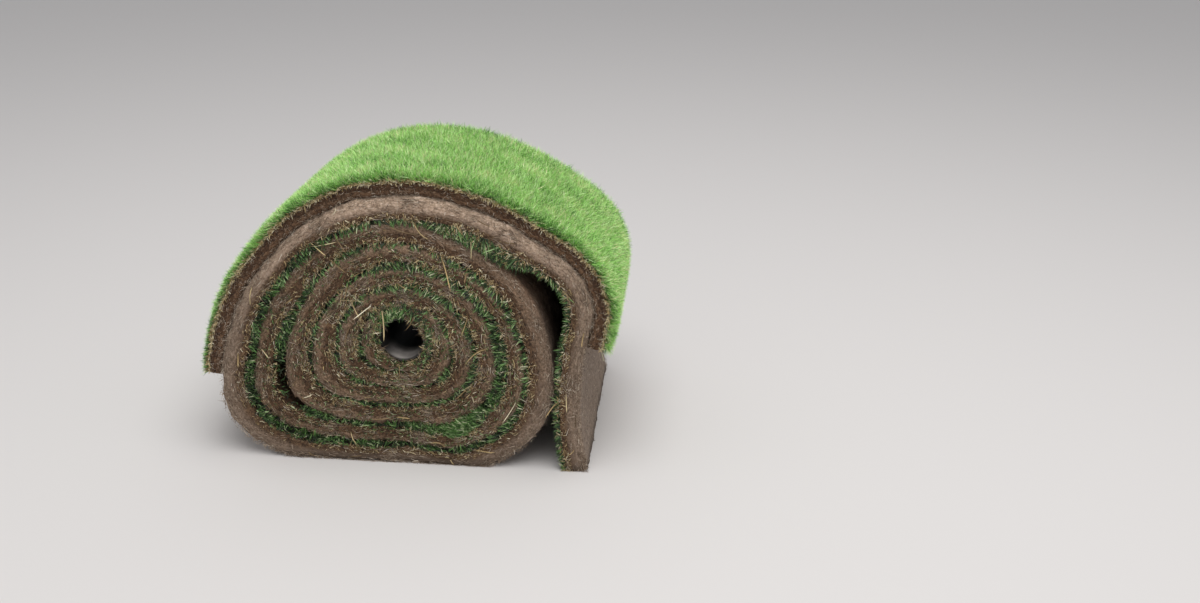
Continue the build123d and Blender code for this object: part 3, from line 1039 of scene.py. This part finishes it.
# %% Patterns of the soil
soil, tree, shader = new_material("dry_root_mat", roughness=0.95)
place = add(tree, "TexCoord")
made = []
for kind, long, wide, settings in (
    ("Object", 3.4 * MM, 3.4 * MM, {"Detail": 4.0, "Roughness": 0.7}),
    ("Object", 15 * MM, 15 * MM, {"Detail": 3.0}),
    ("UV", 9 * MM, 2 * MM, {"Detail": 3.0, "Distortion": 0.4}),
    ("UV", 9 * MM, 3.5 * MM, {"Detail": 4.0, "Roughness": 0.65, "Distortion": 0.3}),
):
    scaled = add(tree, "Mapping", {"Vector": place[kind], "Scale": (1 / long, 1 / wide, 1 / long)})[0]
    made.append(add(tree, "TexNoise", {"Vector": scaled, "Scale": 1.0, **settings})[0])
grains, clods, fibres, skin_flecks = made
carried = [add(tree, "Attribute", attribute_name=name)["Fac"] for name in ("layer", "cut", "damp_and_shade")]
layer, cut, damp_and_shade = carried

# %% [markdown]
# Each colour comes from a mix of these patterns. The clods make the border between the layers ragged.

# %% Colour of the cut faces
cut_noise = 0.0
for pattern, share in ((fibres, 0.2), (grains, 0.6), (clods, 0.2)):
    cut_noise = add(tree, "Math", {0: pattern, 1: share, 2: cut_noise}, operation="MULTIPLY_ADD")[0]
cut_stops = [(0.36, "#32281f"), (0.64, "#d0bda8"), (0.44, "#71604e"), (0.53, "#a08c79")]
cut_colour = add(tree, "ValToRGB", {"Fac": cut_noise}, stops=cut_stops)[0]
ragged = add(tree, "Math", {0: clods, 1: 0.9, 2: layer}, operation="MULTIPLY_ADD")[0]
layer_stops = [(0.45, "#fff8ee"), (1.45, "#74604a"), (0.95, "#dccdbd"), (1.2, "#a08b75")]
layer_tint = add(tree, "ValToRGB", {"Fac": ragged}, stops=layer_stops)[0]
tint_mix = {"data_type": "RGBA", "blend_type": "MULTIPLY"}
tinted = add(tree, "Mix", {0: 1.0, 6: cut_colour, 7: layer_tint}, **tint_mix)[2]

# %% [markdown]
# The outside is less than half as bright low down as on top: painted light from above. Damp soil is
# darker, and at a value of 1 it is green; the same number also darkens the soil under the loose end,
# further in and low on the laid-over turf's edge, partly as damp and partly as painted shade. Where the
# roll lies on the floor its lowest 3 to 17 mm are darker, painted shade of the underside, with an edge
# that the grains make ragged. Cut faces are rougher than the outside, so their bumps are stronger.

# %% Colour of the outside, and both together
skin_clouds = add(tree, "Mix", {0: 0.22, 2: skin_flecks, 3: clods})[0]
skin_noise = add(tree, "Mix", {0: 0.45, 2: skin_clouds, 3: grains})[0]
skin_stops = [(0.37, "#75614e"), (0.64, "#ead4c0"), (0.44, "#a8907a"), (0.51, "#c5ab95")]
skin_colour = add(tree, "ValToRGB", {"Fac": skin_noise}, stops=skin_stops)[0]
up = add(tree, "SeparateXYZ", {"Vector": place["Object"]})["Z"]
# Painted light from above: the outside is brighter high up and darker low down.
painted_light_by_height = {"Value": up, "From Min": 0.21, "From Max": 0.45, "To Min": 0.45, "To Max": 1.14}
painted_top_light = add(tree, "MapRange", painted_light_by_height)[0]
dried = add(tree, "Mix", {0: 1.0, 6: skin_colour, 7: painted_top_light}, **tint_mix)[2]
both = add(tree, "Mix", {0: cut, 6: dried, 7: tinted}, data_type="RGBA")[2]
# Damp and painted shade darken the soil; at 1 it turns green.
damp_and_shade_stops = [(0.0, "#ffffff"), (1.0, "#6fae3e"), (0.35, "#c0ae9f"), (0.6, "#6c5e53"), (0.8, "#6c5e53")]
damp_and_shade_tint = add(tree, "ValToRGB", {"Fac": damp_and_shade}, stops=damp_and_shade_stops)[0]
moist_and_shaded = add(tree, "Mix", {0: 1.0, 6: both, 7: damp_and_shade_tint}, **tint_mix)[2]
# Painted shade of the underside, low down where the roll lies on the floor.
ragged_up = add(tree, "Math", {0: grains, 1: -50 * MM, 2: up}, operation="MULTIPLY_ADD")[0]
painted_shade_near_floor = {"Value": ragged_up, "From Min": -22 * MM, "From Max": -8 * MM, "To Min": 0.38, "To Max": 1.0}
painted_floor_shade = add(tree, "MapRange", painted_shade_near_floor)[0]
soil_colour = add(tree, "Mix", {0: 1.0, 6: moist_and_shaded, 7: painted_floor_shade}, **tint_mix)[2]
tree.links.new(soil_colour, shader.inputs["Base Color"])
height = add(tree, "Math", {0: grains, 1: fibres}, operation="ADD")[0]
bump_strength = add(tree, "MapRange", {"Value": cut, "To Min": 0.35, "To Max": 0.8})[0]
bump = add(tree, "Bump", {"Height": height, "Strength": bump_strength, "Distance": 2 * MM})[0]
tree.links.new(bump, shader.inputs["Normal"])
print("soil:", len(tree.nodes), "nodes")

# %% [markdown]
# ## Grass, straw and roots
# A fresh blade has a thin wax layer, so it is a little glossier (roughness about 0.6) than dry straw
# (0.8) or a dry root (0.85). From some steps away the eye sees no veins. It sees that each blade has a
# tone of its own, and that it is darker down at its root and lighter at its tip: painted shade where the
# blades shade each other, and painted light on the tips. Both are attributes of the mesh: tone is one
# random number for each blade, and along runs from its root to its tip. The grass between the turns is
# darker and duller than the lawn on top: its darkest tones are painted shade of the grooves, and its
# palest are painted highlights.

# %% Grass, straw and roots


def blade_material(name, tones, painted_root_shade, painted_tip_light, roughness=0.6):
    """Each blade takes a colour by its own tone, with painted shade at its root and painted light at its
    tip.
    """
    made, tree, shader = new_material(name, roughness)
    along_blade = add(tree, "Attribute", attribute_name="along")["Fac"]
    tone = add(tree, "Attribute", attribute_name="tone")["Fac"]
    by_tone = add(tree, "ValToRGB", {"Fac": tone}, stops=[tones[0], tones[-1], *tones[1:-1]])[0]
    # Painted shade at the root and painted light at the tip.
    root_to_tip = {"Value": along_blade, "To Min": painted_root_shade, "To Max": painted_tip_light}
    painted_shade_and_light = add(tree, "MapRange", root_to_tip)[0]
    final = add(tree, "Mix", {0: 1.0, 6: by_tone, 7: painted_shade_and_light}, **tint_mix)[2]
    tree.links.new(final, shader.inputs["Base Color"])
    return made


LAWN_TONES = [
    (0, "#2a5c1e"), (0.24, "#76ba46"), (0.5, "#b6f07e"), (0.8, "#defeb4"), (0.94, "#f2ffcc"), (1, "#eadfae")]
# The darkest pressed tones are painted shade of the grooves, and the palest are painted highlights.
PRESSED_TONES = [
    (0, "#141c0e"), (0.35, "#2c431d"), (0.6, "#4a6f32"), (0.8, "#74a354"), (0.93, "#b2ce8e"), (1, "#e8e6c0")]
ROOT_TONES = [(0, "#4c3c30"), (0.4, "#8a7460"), (0.8, "#ab9781"), (0.95, "#d0bfaa"), (1, "#ece0ce")]
STRAW_TONES = [(0, "#46351f"), (0.35, "#8c7350"), (0.62, "#c2a774"), (0.85, "#e6d3a4"), (1, "#fbf2d4")]
lawn_green = blade_material("fresh_lawn_grass", LAWN_TONES, 0.4, 1.22)
pressed_green = blade_material("pressed_grass", PRESSED_TONES, 0.35, 1.15)
root_brown = blade_material("dry_roots", ROOT_TONES, 0.8, 1.1, 0.85)
thatch_straw = blade_material("straw_thatch", STRAW_TONES, 0.7, 1.1, 0.8)
print("finishes for blades:", lawn_green.name, pressed_green.name, root_brown.name, thatch_straw.name)

# %% [markdown]
# ## Dark thatch and the pipe
# What lies deep between the turns is old thatch in its own shade, so its colour is nearly black. The
# pipe is extruded grey PVC: smooth and satin, with a roughness of 0.4 to 0.5 and an IOR of about 1.53.
# Fine pale dust mottles it in clouds of about 20 mm. Inside, low down near its mouths, it is lighter:
# painted light where light falls in. Higher up, further in and at the very rim it is darker, down to
# nearly black: painted shade.

# %% Dark thatch
dark_thatch, tree, shader = new_material("dark_thatch", roughness=0.95)
place = add(tree, "TexCoord")["Object"]
mottle = add(tree, "TexNoise", {"Vector": place, "Scale": 1 / (6 * MM), "Detail": 3.0})[0]
mottled = add(tree, "ValToRGB", {"Fac": mottle}, stops=[(0.4, "#0a0e07"), (0.65, "#2c2e1a")])[0]
tree.links.new(mottled, shader.inputs["Base Color"])

# %% Grey pipe
DUST_CLOUD = 20 * MM
pipe_grey, tree, shader = new_material("grey_plastic_pipe", roughness=0.5, ior=1.53)
place = add(tree, "TexCoord")["Object"]
dust = add(tree, "TexNoise", {"Vector": place, "Scale": 1 / DUST_CLOUD, "Detail": 4.0})[0]
dusty = add(tree, "ValToRGB", {"Fac": dust}, stops=[(0.35, "#989491"), (0.65, "#c0bbb7")])[0]
apart = add(tree, "SeparateXYZ", {"Vector": place})
# Painted light low down inside, where light falls in; painted shade higher up.
low_down = {"Value": apart["Z"], "From Min": CORE_Z - 18 * MM, "From Max": CORE_Z - 33 * MM}
painted_light_low_down = add(tree, "MapRange", {**low_down, "To Min": 0.08, "To Max": 1.0})[0]
depth = add(tree, "Math", {0: apart["Y"]}, operation="ABSOLUTE")[0]
to_mouth = add(tree, "MapRange", {"Value": depth, "From Min": 120 * MM, "From Max": 194 * MM})[0]
# Painted shade deep inside and at the very rim, painted light near the mouths.
painted_light_and_shade_stops = [(0.0, "#0a0a0a"), (1.0, "#333231"), (0.3, "#161616"), (0.65, "#f0ece8"), (0.93, "#e8e4e0")]
painted_light_and_shade_inside = add(tree, "ValToRGB", {"Fac": to_mouth}, stops=painted_light_and_shade_stops)[0]
dust_and_painted_light = add(tree, "Mix", {0: 1.0, 6: dusty, 7: painted_light_low_down}, **tint_mix)[2]
pipe_colour = add(tree, "Mix", {0: 1.0, 6: dust_and_painted_light, 7: painted_light_and_shade_inside}, **tint_mix)[2]
tree.links.new(pipe_colour, shader.inputs["Base Color"])

# %% [markdown]
# ## Dressing and riding
# Each row gives a finish, the slot of the record that this finish stands for, and its pieces. Each
# piece gets its finish and rides on the root body, and the solid that it stands in for is hidden. The
# pipe's own solid stays and gets the grey finish.

# %% Dress and ride
finishes = [
    (soil, "turf_soil", [outer_turn, *inner_turns, strip_mat]),
    (dark_thatch, "turf_soil", groove_floors),
    (root_brown, "turf_soil", roots_out),
    (pressed_green, "turf_grass", pressed),
    (thatch_straw, "turf_grass", flecks),
    (lawn_green, "turf_grass", lawns),
]
for finish, slot, pieces in finishes:
    for piece in pieces:
        piece.data.materials.append(finish)
        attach(piece, "root")
        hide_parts("draped_strip" if "laid" in piece.name else "turf_roll")
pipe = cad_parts["core_tube"]
pipe.data.materials.clear()
pipe.data.materials.append(pipe_grey)
print(sum(len(pieces) for _, _, pieces in finishes), "pieces dressed")

# %% View settings and size
bpy.context.scene.view_settings.view_transform = "Standard"
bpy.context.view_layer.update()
shown = [piece for piece in bpy.data.objects if piece.type == "MESH" and not piece.hide_render]
print("triangles:", sum(len(face.vertices) - 2 for piece in shown for face in piece.data.polygons))
